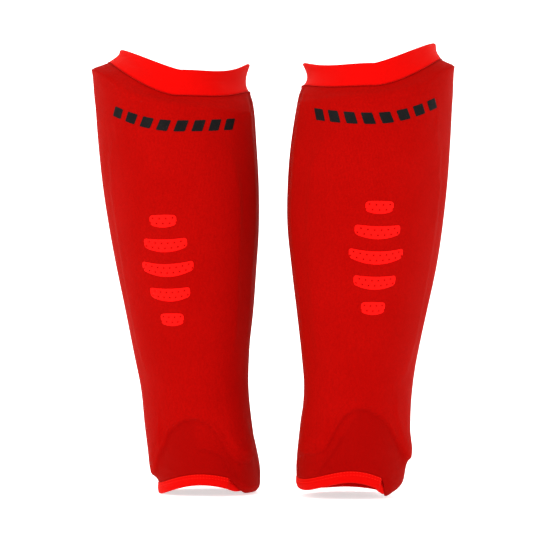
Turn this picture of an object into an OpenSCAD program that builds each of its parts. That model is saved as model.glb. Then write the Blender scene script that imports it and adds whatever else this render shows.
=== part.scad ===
// A pair of slip-on shin guards for field hockey: knit sleeves, each with a
// foam pad and a hard shell sewn into a pocket at the front.
// They stand upright in the form of the lower leg. -Y is the front, the inner
// sides face each other. Each guard is drawn with its outer side at -X, and
// the right one is mirrored. The angle u runs round the leg from the front
// centre, positive towards the inner side.

/* [Leg form] */
// Height of a guard, from the hem to the outer peak of the collar
guard_h = 320; // [290:5:350]
// Width of the ankle inside the guard
ankle_w = 66; // [60:1:72]
// Depth of the ankle inside the guard
ankle_d = 82; // [76:1:90]
// Width of the calf inside the guard
calf_w = 104; // [96:1:114]
// Depth of the calf inside the guard
calf_d = 116; // [108:1:126]

/* [Layers] */
// Thickness of the knit fabric
knit_t = 0.8; // [0.6:0.1:0.9]
// Thickness of the foam pad at its middle
foam_t = 5; // [4:0.5:6]
// Thickness of the foam pad at its edge
foam_edge_t = 2.5; // [1.5:0.5:3]
// Thickness of the hard shell
shell_t = 1.2; // [1:0.1:1.5]
// Clear gap between neighbouring layers
layer_gap = 0.2; // [0.2:0.05:0.3]

/* [Bands] */
// Height of the folded hem band
hem_h = 8; // [6:0.5:10]
// Width of the collar's mouth
collar_w = 91; // [86:1:96]
// Depth of the collar's mouth
collar_d = 112; // [104:1:116]
// Thickness of the elastic inside the bands
elastic_t = 0.8; // [0.6:0.1:0.9]

/* [Prints] */
// Height of the row of bars under the collar
bar_h = 8; // [6:1:10]
// Number of bars in the row
bar_count = 8; // [5:1:10]
// Height of one rung of the ladder print
rung_h = 9; // [6:1:10]
// Distance between the rungs of the ladder print
rung_pitch = 17; // [14:1:18]

/* [Pair] */
// Distance between the hem centres of the two guards
pair_w = 102; // [102:1:160]
// How far the right guard stands in front of the left one
stagger = 29; // [0:1:40]

/* [Hidden] */
left = 0;
right = 1;

// The drawn tables are for this height, and are stretched to guard_h.
table_h = 320;
tall = guard_h / table_h;

// Leg form, hem to collar: height, width swell left and right (0 is the
// ankle, 1 is the calf), centre left and right, depth swell, centre depth
leg_rows = [
    [0, 0.08, 0.02, 0.5, 3.2, 0.1, -1],
    [20, 0.07, 0.16, 0.5, 1.2, 0.05, -2],
    [50, 0, 0.01, -4.3, 1, 0, -3],
    [75, 0, -0.04, -6.9, -1.2, 0.06, -3],
    [100, 0.16, 0.14, -9.1, -2.3, 0.24, -2],
    [130, 0.41, 0.4, -10.8, -3.8, 0.47, 0],
    [160, 0.63, 0.67, -12.9, -5.2, 0.68, 1.5],
    [190, 0.83, 0.88, -14.5, -6.3, 0.85, 2.2],
    [220, 0.96, 0.96, -16.8, -8.4, 0.97, 2.5],
    [250, 1, 0.95, -19.4, -10.7, 1, 2],
    [280, 1, 0.87, -22, -13.8, 0.94, 1],
    [305, 0.9, 0.74, -26.5, -17.5, 0.82, 0]
];

// Lower outline of the pad, outer side to inner side: angle, height left and
// right. It arches over the instep and has a lobe over each ankle bone.
pad_foot_rows = [
    [-100, 18, 30],
    [-84, 13, 27],
    [-70, 17, 27],
    [-57, 28, 33.5],
    [-46, 35, 43.5],
    [-37, 43.5, 51.5],
    [-24, 50.5, 58],
    [-8, 54, 62],
    [8, 51, 58.5],
    [18, 42, 48.5],
    [27, 29.5, 36.5],
    [36, 24.5, 32],
    [50, 24, 30.5],
    [62, 28, 31.5],
    [68, 30, 33]
];

// Upper outline of the pad: angle, height left and right
pad_head_rows = [
    [-100, 305, 303.5],
    [-80, 304.5, 303],
    [-60, 298, 296.5],
    [-25, 281, 282],
    [0, 274.5, 277.5],
    [25, 271.5, 275.5],
    [68, 271, 275]
];

// Values for the left and for the right guard
collar_x = [-17.7, -12.9];
seam_front = [278.5, 281];
seam_inner_rise = [10, 7.5];
seam_outer_rise = [31.5, 26.5];
rim_front = [297, 297];
rim_inner_rise = [13, 9];
rim_outer_rise = [23, 23];
hem_raise = [8, 12];
bar_z = [256.5, 258];
ladder_z = [157, 164];
ladder_u = [-15, -9];

// The columns of the front layers stand every step_u, from one side seam to
// the other, and the pad and the shell start and end on some of them.
step_u = 7.5;
outer_seam_u = -105;
inner_seam_u = 75;
front_steps = 24;
pad_first = 1;
pad_last = 23;
shell_first = 6;
shell_last = 20;
pad_from_u = outer_seam_u + step_u * pad_first;
pad_to_u = outer_seam_u + step_u * pad_last;
back_steps = 15;
ring_steps = 48;
ring_step_u = 360 / ring_steps;

// Rows: two under the pad, then the pad's own, then one up to the collar
pad_first_row = 2;
pad_last_row = 16;
last_row = 17;
edge_run = 8;
shell_first_row = 5;
shell_last_row = 14;

// Layers, as distances out from the leg form
foam_in = knit_t + layer_gap;
foam_out = foam_in + foam_t;
foam_edge_out = foam_in + foam_edge_t;
shell_in = foam_out + layer_gap;
panel_high = shell_in + shell_t + layer_gap + 0.1;
panel_edge = foam_edge_out + 1.4;
panel_low = foam_in + 0.1;
flush_out = panel_low + knit_t;
fold_in = -knit_t - 0.1;
stitch_gap = 0.15;
stitch_t = 0.4;
print_t = 0.2;
seam_gap = 0.3;

function mix(a, b, t) = a + (b - a) * t;
function clamp(low, high, x) = max(low, min(high, x));
function ease(low, high, x) =
    let (t = clamp(0, 1, (x - low) / (high - low)))
    t * t * (3 - 2 * t);

// A smooth curve through rows whose first value is the position
function row_before(rows, x, i = 0) =
    i >= len(rows) - 2 || x < rows[i + 1][0] ? i : row_before(rows, x, i + 1);
function row_slope(rows, i) =
    let (a = max(i - 1, 0), b = min(i + 1, len(rows) - 1))
    (rows[b] - rows[a]) / (rows[b][0] - rows[a][0]);
function smooth_row(rows, x) =
    let (
        i = row_before(rows, x),
        run = rows[i + 1][0] - rows[i][0],
        t = clamp(0, 1, (x - rows[i][0]) / run),
        s = t * t * (3 - 2 * t)
    )
    mix(rows[i], rows[i + 1], s)
        + row_slope(rows, i) * run * t * (1 - t) * (1 - t)
        - row_slope(rows, i + 1) * run * t * t * (1 - t);

// Rise of the collar towards the inner and towards the outer side
function inner_share(u) = pow(max(0, sin(u)), 4);
function outer_share(u, power) = pow(max(0, -sin(u)), power);
function seam_z(side, u) =
    tall * (seam_front[side] + seam_inner_rise[side] * inner_share(u)
        + seam_outer_rise[side] * outer_share(u, 1.6));
function rim_z(side, u) =
    tall * (rim_front[side] + rim_inner_rise[side] * inner_share(u)
        + rim_outer_rise[side] * outer_share(u, 1.3));

// The hem rises over the instep, and the right one at its inner side too.
hem_peak_u = [-6, 2];
hem_inner_raise = [0, 6];
hem_span_u = 75;
function hump(distance) = 0.5 + 0.5 * cos(180 * min(1, abs(distance) / hem_span_u));
function hem_z(side, u) =
    hem_raise[side] * hump(u - hem_peak_u[side]) + hem_inner_raise[side] * hump(u - 90);
function pad_foot_z(side, u) = tall * smooth_row(pad_foot_rows, u)[1 + side];
function pad_head_z(side, u) = tall * smooth_row(pad_head_rows, u)[1 + side];

// A point at angle u and height z, off millimetres out from the leg form.
// Near the rim the section turns into the collar's, pinched at its two ends.
function place_point(side, u, z, off) =
    let (
        row = smooth_row(leg_rows, z / tall),
        above = z - seam_z(side, u),
        to_collar = ease(-6, 8, above),
        half_w = mix(mix(ankle_w, calf_w, row[1 + side]), collar_w, to_collar) / 2,
        half_d = mix(mix(ankle_d, calf_d, row[5]), collar_d, to_collar) / 2,
        cx = mix(row[3 + side], collar_x[side], to_collar),
        cy = mix(row[6], 0, to_collar),
        pinch = 1 + 0.6 * ease(0, 14, above),
        nx = half_d * sin(u),
        ny = half_w * cos(u),
        long = sqrt(nx * nx + ny * ny)
    )
    [
        cx + half_w * sin(u) + off * nx / long,
        cy - half_d * sign(cos(u)) * pow(abs(cos(u)), pinch) - off * ny / long,
        z
    ];

// Height of row k of the front layers
function front_row_z(side, u, k) =
    let (
        hem = hem_z(side, u) + hem_h + seam_gap,
        foot = pad_foot_z(side, u),
        head = pad_head_z(side, u),
        inside = (k - pad_first_row - 1) / (pad_last_row - pad_first_row - 2)
    )
    k == 0 ? hem
        : k == 1 ? foot - min(edge_run, 0.8 * (foot - hem))
        : k == pad_first_row ? foot
        : k < pad_last_row ? mix(foot + edge_run, head - edge_run, inside)
        : k == pad_last_row ? head
        : seam_z(side, u) - seam_gap;

// How far inside the pad's outline a point is: 1 inside, 0 at the edge and
// -1 where the panel is back on the leg
function pad_share(side, u, z) =
    let (
        foot = pad_foot_z(side, u),
        head = pad_head_z(side, u),
        low = (z - foot) / (z > foot ? edge_run : min(edge_run, 0.8 * (foot - hem_z(side, u) - hem_h))),
        high = (head - z) / (z < head ? edge_run : seam_z(side, u) - seam_gap - head),
        across = min(u - pad_from_u, pad_to_u - u) / step_u
    )
    clamp(-1, 1, min(low, high, across));
function foam_off(share) = mix(foam_edge_out, foam_out, clamp(0, 1, share));
function panel_off(share) =
    share < 0 ? mix(panel_edge, panel_low, -share) : mix(panel_edge, panel_high, share);
function panel_top(side, u, z) = panel_off(pad_share(side, u, z)) + knit_t;

// Joins loops of points into one closed solid. Each loop runs up the outer
// face and down the inner face. A round skin closes on itself, and an open
// one has a flat cap at each end. Cells are split along the same diagonal on
// faces that run up and on faces that run down, so that layers nest.
module skin(loops, round_trip = false) {
    n = len(loops);
    m = len(loops[0]);
    sides = [
        for (i = [0 : round_trip ? n - 1 : n - 2], j = [0 : m - 1])
            let (
                a = i * m + j,
                b = i * m + (j + 1) % m,
                c = ((i + 1) % n) * m + (j + 1) % m,
                d = ((i + 1) % n) * m + j,
                runs_up = loops[i][(j + 1) % m][2] >= loops[i][j][2]
            )
            each runs_up ? [[a, b, c], [a, c, d]] : [[a, b, d], [b, c, d]]
    ];
    end = (n - 1) * m;
    caps = round_trip ? [] : [
        for (j = [0 : m / 2 - 2])
            each [
                [j + 1, j, m - 1 - j],
                [j + 1, m - 1 - j, m - 2 - j],
                [end + j, end + j + 1, end + m - 2 - j],
                [end + j, end + m - 2 - j, end + m - 1 - j]
            ]
    ];
    polyhedron([for (loop = loops) each loop], concat(sides, caps));
}

// Stands a guard in its place in the pair. The centre offsets put the origin
// under the middle of the pair's box.
centre_x = 5.7;
centre_y = 1.4;
place_x = pair_w / 2;
place_y = stagger / 2 + centre_y;

module stand(side) {
    if (side == left)
        translate([centre_x - place_x, place_y, 0]) children();
    else
        translate([centre_x + place_x, place_y - stagger, 0]) mirror([1, 0, 0]) children();
}

// Outer knit panel of the pad's pocket, from side seam to side seam
module front_panel(side) {
    color([0.72, 0.02, 0.02])
        stand(side)
            skin([
                for (i = [0 : front_steps])
                    let (u = outer_seam_u + step_u * i)
                    concat(
                        [for (k = [0 : last_row]) let (z = front_row_z(side, u, k))
                            place_point(side, u, z, panel_top(side, u, z))],
                        [for (k = [last_row : -1 : 0]) let (z = front_row_z(side, u, k))
                            place_point(side, u, z, panel_off(pad_share(side, u, z)))]
                    )
            ]);
}

// Knit panel over the calf, which joins the front layers at the side seams
back_rows = 14;
back_gap_u = 0.5;
back_top_gap = 0.6;
module back_panel(side) {
    span = 360 - inner_seam_u + outer_seam_u - 2 * back_gap_u;
    color([0.7, 0.02, 0.02])
        stand(side)
            skin([
                for (i = [0 : back_steps])
                    let (
                        u = inner_seam_u + back_gap_u + span * i / back_steps,
                        low = hem_z(side, u) + hem_h + seam_gap,
                        high = seam_z(side, u) - back_top_gap
                    )
                    concat(
                        [for (k = [0 : back_rows])
                            place_point(side, u, mix(low, high, k / back_rows), flush_out)],
                        [for (k = [back_rows : -1 : 0])
                            place_point(side, u, mix(low, high, k / back_rows), panel_low)]
                    )
            ]);
}

// Smooth knit lining that closes the pocket against the leg
module pocket_liner(side) {
    color([0.62, 0.03, 0.03])
        stand(side)
            skin([
                for (i = [0 : front_steps])
                    let (u = outer_seam_u + step_u * i)
                    concat(
                        [for (k = [0 : last_row])
                            place_point(side, u, front_row_z(side, u, k), knit_t)],
                        [for (k = [last_row : -1 : 0])
                            place_point(side, u, front_row_z(side, u, k), 0)]
                    )
            ]);
}

// Moulded foam pad with a thinned edge and an arch over the instep
module shin_pad(side) {
    color([0.13, 0.13, 0.14])
        stand(side)
            skin([
                for (i = [pad_first : pad_last])
                    let (u = outer_seam_u + step_u * i)
                    concat(
                        [for (k = [pad_first_row : pad_last_row])
                            let (z = front_row_z(side, u, k))
                            place_point(side, u, z, foam_off(pad_share(side, u, z)))],
                        [for (k = [pad_last_row : -1 : pad_first_row])
                            place_point(side, u, front_row_z(side, u, k), foam_in)]
                    )
            ]);
}

// Hard plastic shell in front of the foam, over the shin bone
module hard_shell(side) {
    color([0.85, 0.86, 0.88])
        stand(side)
            skin([
                for (i = [shell_first : shell_last])
                    let (u = outer_seam_u + step_u * i)
                    concat(
                        [for (k = [shell_first_row : shell_last_row])
                            place_point(side, u, front_row_z(side, u, k), shell_in + shell_t)],
                        [for (k = [shell_last_row : -1 : shell_first_row])
                            place_point(side, u, front_row_z(side, u, k), shell_in)]
                    )
            ]);
}

// A ring round the leg: each corner is a share of the way from the ring's
// lower edge to its upper edge, a lift from there, and a distance out.
module ring(side, corners, is_collar) {
    skin([
        for (i = [0 : ring_steps - 1])
            let (
                u = ring_step_u * i - 180,
                low = is_collar ? seam_z(side, u) : hem_z(side, u),
                high = is_collar ? rim_z(side, u) : hem_z(side, u) + hem_h
            )
            [for (c = corners) place_point(side, u, mix(low, high, c[0]) + c[1], c[2])]
    ], true);
}

// Knit collar, folded over at the rim so that both edges meet in the seam.
// All its layers have corners at the same heights.
fold_t = knit_t;
elastic_in = fold_in + fold_t + 0.2;
elastic_out = elastic_in + elastic_t;
collar_rows = [0, 0.15, 0.55, 0.9];
elastic_rows = [0.15, 0.55, 0.9];
function up(rows, off) = [for (k = [0 : len(rows) - 1]) [rows[k], 0, off]];
function down(rows, off) = [for (k = [len(rows) - 1 : -1 : 0]) [rows[k], 0, off]];
module collar_band(side) {
    color([0.93, 0.03, 0.03])
        stand(side)
            ring(side, concat(
                up(collar_rows, flush_out),
                [[1, 0, flush_out], [1, 0, fold_in]],
                down(collar_rows, fold_in),
                up(collar_rows, fold_in + fold_t),
                [[1, -fold_t, fold_in + fold_t], [1, -fold_t, flush_out - fold_t]],
                down(collar_rows, flush_out - fold_t)
            ), true);
}

// Flat elastic in the fold of the collar
module collar_elastic(side) {
    color([0.9, 0.88, 0.84])
        stand(side)
            ring(side, concat(up(elastic_rows, elastic_out), down(elastic_rows, elastic_in)), true);
}

// Knit hem, folded under at the ankle
module hem_band(side) {
    color([0.93, 0.03, 0.03])
        stand(side)
            ring(side, [
                [1, 0, flush_out - fold_t],
                [0, fold_t, flush_out - fold_t],
                [0, fold_t, fold_in + fold_t],
                [1, 0, fold_in + fold_t],
                [1, 0, fold_in],
                [0, 0, fold_in],
                [0, 0, flush_out],
                [1, 0, flush_out]
            ], false);
}

// Flat elastic in the fold of the hem
module hem_elastic(side) {
    color([0.9, 0.88, 0.84])
        stand(side)
            ring(side, [
                [0, fold_t + seam_gap, elastic_out],
                [1, -1, elastic_out],
                [1, -1, elastic_in],
                [0, fold_t + seam_gap, elastic_in]
            ], false);
}

// Cover stitching along the lower edge of the collar
stitch_in = flush_out + stitch_gap;
collar_stitch_rows = [0, 0.15];
module collar_seam(side) {
    color([0.6, 0.02, 0.02])
        stand(side)
            ring(side, concat(
                up(collar_stitch_rows, stitch_in + stitch_t),
                down(collar_stitch_rows, stitch_in)
            ), true);
}

// Cover stitching along the top of the hem
hem_stitch_h = 2.4;
module hem_stitching(side) {
    color([0.95, 0.1, 0.06])
        stand(side)
            ring(side, [
                [1, -hem_stitch_h, stitch_in + stitch_t],
                [1, 0, stitch_in + stitch_t],
                [1, 0, stitch_in],
                [1, -hem_stitch_h, stitch_in]
            ], false);
}

// Flat-locked thread along a side seam, on the back panel's edge
side_seam_u = 3.5;
side_seam_rows = 15;
side_seam_end = 2;
side_seam_in = stitch_in + 0.25;
module side_seam(side, low_u) {
    skin([
        for (u = [low_u, low_u + side_seam_u])
            let (
                low = hem_z(side, u) + hem_h + side_seam_end,
                high = seam_z(side, u) - side_seam_end
            )
            concat(
                [for (k = [0 : side_seam_rows])
                    place_point(side, u, mix(low, high, k / side_seam_rows), side_seam_in + stitch_t)],
                [for (k = [side_seam_rows : -1 : 0])
                    place_point(side, u, mix(low, high, k / side_seam_rows), side_seam_in)]
            )
    ]);
}
module inner_seam(side) {
    color([0.6, 0.02, 0.02])
        stand(side)
            side_seam(side, inner_seam_u);
}
module outer_seam(side) {
    color([0.6, 0.02, 0.02])
        stand(side)
            side_seam(side, outer_seam_u - side_seam_u);
}

// A printed film on the front panel: columns of [angle, low height, high
// height, slant], where the slant turns the column's upper end. Each column
// bends where the panel starts to fall towards the pad's upper edge.
function film_point(side, c, z, lift) =
    let (u = c[0] + c[3] * (z - c[1]) / (c[2] - c[1]))
    place_point(side, u, z, panel_top(side, u, z) + stitch_gap + lift);
module film(side, columns) {
    skin([
        for (c = columns)
            let (bend = clamp(c[1] + 0.5, c[2] - 0.5, pad_head_z(side, c[0]) - edge_run))
            concat(
                [for (z = [c[1], bend, c[2]]) film_point(side, c, z, print_t)],
                [for (z = [c[2], bend, c[1]]) film_point(side, c, z, 0)]
            )
    ]);
}

// Row of slanted bars under the collar
bar_row_u = 90;
bar_share = 0.66;
bar_slant = 3;
bar_outer_lift = 25;
bar_inner_lift = [8, 12];
function bar_row_z(side, u) =
    tall * (bar_z[side] + (u < 0 ? bar_outer_lift : bar_inner_lift[side]) * sin(u) * sin(u));
module bar_print(side) {
    pitch = bar_row_u / bar_count;
    color([0.05, 0.05, 0.05])
        stand(side)
            for (n = [0 : bar_count - 1])
                film(side, [
                    for (s = [0 : 0.5 : 1])
                        let (
                            u = -bar_row_u / 2 - 3 + pitch * (n + bar_share * s),
                            z = bar_row_z(side, u)
                        )
                        [u, z - bar_h / 2, z + bar_h / 2, bar_slant]
                ]);
}

// Five rungs down the shin, narrower towards the ends of the ladder
rung_half_u = [9, 15, 18, 15, 9];
rung_dip = 4;
module ladder_print(side) {
    color([0.98, 0.05, 0.03])
        stand(side)
            for (n = [0 : len(rung_half_u) - 1])
                film(side, [
                    for (s = [-1 : 0.25 : 1])
                        let (
                            u = ladder_u[side] + rung_half_u[n] * s,
                            z = tall * ladder_z[side] + rung_pitch * (n - 2)
                                + rung_dip * s * s * rung_half_u[n] / 18,
                            half_h = rung_h / 2 * (1 - 0.35 * s * s)
                        )
                        [u, z - half_h, z + half_h, 0]
                ]);
}

// Plain label that hangs inside the back of the collar
label_h = 24;
label_half_u = 9;
label_in = fold_in - 0.9;
label_out = fold_in - 0.4;
module care_label(side) {
    color([0.95, 0.95, 0.93])
        stand(side)
            skin([
                for (s = [-1 : 0.5 : 1])
                    let (u = 180 + label_half_u * s, high = seam_z(side, u) - 1)
                    concat(
                        [for (t = [0 : 0.25 : 1])
                            place_point(side, u, high - label_h * (1 - t), label_out)],
                        [for (t = [1 : -0.25 : 0])
                            place_point(side, u, high - label_h * (1 - t), label_in)]
                    )
            ]);
}

front_panel(left);  // left_front_panel
back_panel(left);  // left_back_panel
pocket_liner(left);  // left_pocket_liner
shin_pad(left);  // left_shin_pad
hard_shell(left);  // left_hard_shell
collar_band(left);  // left_collar_band
collar_elastic(left);  // left_collar_elastic
hem_band(left);  // left_hem_band
hem_elastic(left);  // left_hem_elastic
inner_seam(left);  // left_inner_seam
outer_seam(left);  // left_outer_seam
collar_seam(left);  // left_collar_seam
hem_stitching(left);  // left_hem_stitching
bar_print(left);  // left_bar_print
ladder_print(left);  // left_ladder_print
care_label(left);  // left_care_label
front_panel(right);  // right_front_panel
back_panel(right);  // right_back_panel
pocket_liner(right);  // right_pocket_liner
shin_pad(right);  // right_shin_pad
hard_shell(right);  // right_hard_shell
collar_band(right);  // right_collar_band
collar_elastic(right);  // right_collar_elastic
hem_band(right);  // right_hem_band
hem_elastic(right);  // right_hem_elastic
inner_seam(right);  // right_inner_seam
outer_seam(right);  // right_outer_seam
collar_seam(right);  // right_collar_seam
hem_stitching(right);  // right_hem_stitching
bar_print(right);  // right_bar_print
ladder_print(right);  // right_ladder_print
care_label(right);  // right_care_label
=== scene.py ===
import math

import bpy
import numpy as np
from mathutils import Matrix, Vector


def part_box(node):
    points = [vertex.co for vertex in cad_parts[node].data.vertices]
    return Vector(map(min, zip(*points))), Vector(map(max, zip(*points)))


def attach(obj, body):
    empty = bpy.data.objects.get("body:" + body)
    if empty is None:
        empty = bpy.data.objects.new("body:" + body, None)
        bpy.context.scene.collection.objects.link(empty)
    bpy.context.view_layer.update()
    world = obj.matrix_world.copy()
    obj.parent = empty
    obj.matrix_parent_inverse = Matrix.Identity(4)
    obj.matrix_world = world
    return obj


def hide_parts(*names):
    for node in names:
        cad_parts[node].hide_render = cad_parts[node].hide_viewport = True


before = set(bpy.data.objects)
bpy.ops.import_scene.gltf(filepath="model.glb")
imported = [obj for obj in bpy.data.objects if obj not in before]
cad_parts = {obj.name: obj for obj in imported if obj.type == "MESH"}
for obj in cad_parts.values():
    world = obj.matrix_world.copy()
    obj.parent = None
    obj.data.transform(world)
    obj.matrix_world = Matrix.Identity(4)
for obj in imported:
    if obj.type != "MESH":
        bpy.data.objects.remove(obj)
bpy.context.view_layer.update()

MM = 0.001
SIDES = ("left", "right")

# ---- Leg form ----
# The same tables and formulas as the CAD model, in millimetres. u is the angle
# round the leg from the front centre, positive to the inner side. Each guard
# is worked out with its outer side at -x; the right one is mirrored when it is
# placed.
ANKLE_W, ANKLE_D, CALF_W, CALF_D = 66, 82, 104, 116
COLLAR_W, COLLAR_D = 91, 112

# Faces of the layers, out from the leg form
KNIT_T = 0.8
FOAM_IN, FOAM_EDGE_OUT, FOAM_OUT = 1.0, 3.5, 6.0
SHELL_IN, SHELL_T = 6.2, 1.2
PANEL_LOW, PANEL_HIGH = 1.1, 7.7
FLUSH_OUT = PANEL_LOW + KNIT_T
FOLD_IN = -0.9

HEM_H = 8
OUTER_SEAM_U, INNER_SEAM_U = -105, 75
PAD_FROM_U, PAD_TO_U = -97.5, 67.5
SEAM_GAP = 0.3

# height, width swell left and right, centre x left and right, depth swell,
# centre y (a swell of 0 is the ankle, and 1 is the calf)
LEG_ROWS = np.array([
    [0, 0.08, 0.02, 0.5, 3.2, 0.1, -1],
    [20, 0.07, 0.16, 0.5, 1.2, 0.05, -2],
    [50, 0, 0.01, -4.3, 1, 0, -3],
    [75, 0, -0.04, -6.9, -1.2, 0.06, -3],
    [100, 0.16, 0.14, -9.1, -2.3, 0.24, -2],
    [130, 0.41, 0.4, -10.8, -3.8, 0.47, 0],
    [160, 0.63, 0.67, -12.9, -5.2, 0.68, 1.5],
    [190, 0.83, 0.88, -14.5, -6.3, 0.85, 2.2],
    [220, 0.96, 0.96, -16.8, -8.4, 0.97, 2.5],
    [250, 1, 0.95, -19.4, -10.7, 1, 2],
    [280, 1, 0.87, -22, -13.8, 0.94, 1],
    [305, 0.9, 0.74, -26.5, -17.5, 0.82, 0],
])
# angle, height left and right
PAD_FOOT_ROWS = np.array([
    [-100, 18, 30], [-84, 13, 27], [-70, 17, 27], [-57, 28, 33.5], [-46, 35, 43.5],
    [-37, 43.5, 51.5], [-24, 50.5, 58], [-8, 54, 62], [8, 51, 58.5], [18, 42, 48.5],
    [27, 29.5, 36.5], [36, 24.5, 32], [50, 24, 30.5], [62, 28, 31.5], [68, 30, 33],
])
PAD_HEAD_ROWS = np.array([
    [-100, 305, 303.5], [-80, 304.5, 303], [-60, 298, 296.5], [-25, 281, 282],
    [0, 274.5, 277.5], [25, 271.5, 275.5], [68, 271, 275],
])

# Collar, hem and prints: pairs are for the left and the right guard
COLLAR_X, COLLAR_PINCH = (-17.7, -12.9), 0.6
SEAM_FRONT, SEAM_INNER_RISE, SEAM_OUTER_RISE = (278.5, 281), (10, 7.5), (31.5, 26.5)
RIM_FRONT, RIM_INNER_RISE, RIM_OUTER_RISE = (297, 297), (13, 9), (23, 23)
HEM_RAISE, HEM_PEAK_U, HEM_SPAN_U = (8, 12), (-6, 2), 75
HEM_INNER_RAISE, INNER_U, BACK_RAISE, BACK_SPAN_U = (0, 6), 90, (3.5, 3.0), 80

# The part of the hem that is turned under: the angles where it begins, is
# full, starts to fade and ends, then its lower edge and how it is rolled
TUCK_ANGLES = ((20, 54, 115, 145), (29, 56, 112, 140))
TUCKED_LOW, TUCKED_RISE, TUCKED_RISE_U = 1.4, (0, 4.5), (58, 92)
ROLL_IN, ROLL_H = (2.6, 5.0), (5.0, 8.0)
SLIP_IN, SLIP_UP = 3.6, 1.8

BAR_Z, BAR_OUTER_LIFT, BAR_INNER_LIFT = (256.5, 258), 25, (8, 12)
LADDER_Z, LADDER_U = (157, 164), (-15, -9)


def ease(low, high, x):
    t = np.clip((x - low) / (high - low), 0, 1)
    return t * t * (3 - 2 * t)


def full_grid(columns, rows, from_u, to_u):
    """Angles of a [column, row] grid, and the share of its height for each row."""
    u = np.linspace(from_u, to_u, columns)[:, None] + np.zeros(rows)
    return u, np.linspace(0, 1, rows)[None, :]


def bell(x, width):
    return np.exp(-((x / width) ** 2))


def smooth_row(rows, x):
    """A smooth curve through rows whose first value is the position."""
    x = np.asarray(x, float)
    p = rows[:, 0]
    n = len(p)
    i = np.clip(np.searchsorted(p, x, side="right") - 1, 0, n - 2)
    a, b = np.maximum(np.arange(n) - 1, 0), np.minimum(np.arange(n) + 1, n - 1)
    slope = (rows[b] - rows[a]) / (p[b] - p[a])[:, None]
    run = (p[i + 1] - p[i])[..., None]
    t = np.clip((x - p[i])[..., None] / run, 0, 1)
    s = t * t * (3 - 2 * t)
    curve = rows[i] * (1 - s) + rows[i + 1] * s
    return curve + run * (slope[i] * t * (1 - t) ** 2 - slope[i + 1] * t * t * (1 - t))


def side_shares(u, outer_power):
    """How far round to the inner and to the outer side, 0 to 1."""
    s = np.sin(np.radians(u))
    return np.maximum(0, s) ** 4, np.maximum(0, -s) ** outer_power


def seam_z(side, u):
    """Lower edge of the collar."""
    inner, outer = side_shares(u, 1.6)
    return SEAM_FRONT[side] + SEAM_INNER_RISE[side] * inner + SEAM_OUTER_RISE[side] * outer


def rim_z(side, u):
    """Upper edge of the collar."""
    inner, outer = side_shares(u, 1.3)
    return RIM_FRONT[side] + RIM_INNER_RISE[side] * inner + RIM_OUTER_RISE[side] * outer


def wrap(u):
    """The same angle from -180 to 180 degrees."""
    return (np.asarray(u, float) + 180) % 360 - 180


def hump(distance, span):
    return 0.5 + 0.5 * np.cos(np.pi * np.minimum(1, np.abs(distance) / span))


def hem_z(side, u):
    """Lower edge of the hem: it arches over the instep, and a little at the back."""
    front = HEM_RAISE[side] * hump(wrap(u - HEM_PEAK_U[side]), HEM_SPAN_U)
    inner = HEM_INNER_RAISE[side] * hump(wrap(u - INNER_U), HEM_SPAN_U)
    return front + inner + BACK_RAISE[side] * hump(wrap(u - 180), BACK_SPAN_U)


def tuck(side, u):
    """How far the hem is turned under: at the left guard's inner side and at
    the right guard's outer side."""
    begin, full, fade, end = TUCK_ANGLES[side]
    u = -wrap(u) if side else wrap(u)
    return ease(begin, full, u) * (1 - ease(fade, end, u))


def roll_in(side, u, above):
    """The turned edge rolls inwards over its lowest millimetres."""
    return ROLL_IN[side] * tuck(side, u) * np.clip(1 - above / ROLL_H[side], 0, 1) ** 2


def tucked_z(side, u):
    """Lower edge of the panels where the hem is tucked behind them."""
    return TUCKED_LOW + TUCKED_RISE[side] * ease(*TUCKED_RISE_U, -wrap(u))


def hem_top(side, u):
    """Height of the panels' lower edge."""
    return (hem_z(side, u) + HEM_H) * (1 - tuck(side, u)) + tucked_z(side, u) * tuck(side, u)


def slip_under(side, u, z, off):
    """Moves the hem band in behind the panels where it is tucked."""
    share = tuck(side, u)
    raised = np.maximum(0, tucked_z(side, u) + SLIP_UP - hem_z(side, u))
    return z + share * raised, off - SLIP_IN * ease(0, 0.15, share)


def pad_foot_z(side, u):
    return smooth_row(PAD_FOOT_ROWS, u)[..., 1 + side]


def pad_head_z(side, u):
    return smooth_row(PAD_HEAD_ROWS, u)[..., 1 + side]


def leg_point(side, u, z, off):
    """Local points at angle u and height z, off millimetres out from the leg form."""
    u, z, off = np.broadcast_arrays(np.asarray(u, float), np.asarray(z, float), np.asarray(off, float))
    row = smooth_row(LEG_ROWS, z)
    above = z - seam_z(side, u)
    in_collar = ease(-6, 8, above)
    leg_w = ANKLE_W + (CALF_W - ANKLE_W) * row[..., 1 + side]
    leg_d = ANKLE_D + (CALF_D - ANKLE_D) * row[..., 5]
    half_w = (leg_w * (1 - in_collar) + COLLAR_W * in_collar) / 2
    half_d = (leg_d * (1 - in_collar) + COLLAR_D * in_collar) / 2
    cx = row[..., 3 + side] * (1 - in_collar) + COLLAR_X[side] * in_collar
    cy = row[..., 6] * (1 - in_collar)
    pinch = 1 + COLLAR_PINCH * ease(0, 14, above)
    s, c = np.sin(np.radians(u)), np.cos(np.radians(u))
    nx, ny = half_d * s, half_w * c
    long = np.hypot(nx, ny)
    x = cx + half_w * s + off * nx / long
    y = cy - half_d * np.sign(c) * np.abs(c) ** pinch - off * ny / long
    return np.stack([x, y, z], -1)


# ---- Placing ----
# A guard stands where the CAD's hem band stands.
def hem_centre(side):
    u = np.arange(0, 360, 1.0)
    ring = np.concatenate([leg_point(side, u, hem_z(side, u) + h, FLUSH_OUT) for h in (0, HEM_H)])
    return (ring.min(0) + ring.max(0)) / 2


def guard_place(side):
    low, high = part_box(SIDES[side] + "_hem_band")
    mid = np.mean([low, high], 0) / MM
    centre = hem_centre(side)
    flip = -1 if side else 1
    return flip, mid[0] - flip * centre[0], mid[1] - centre[1]


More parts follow.
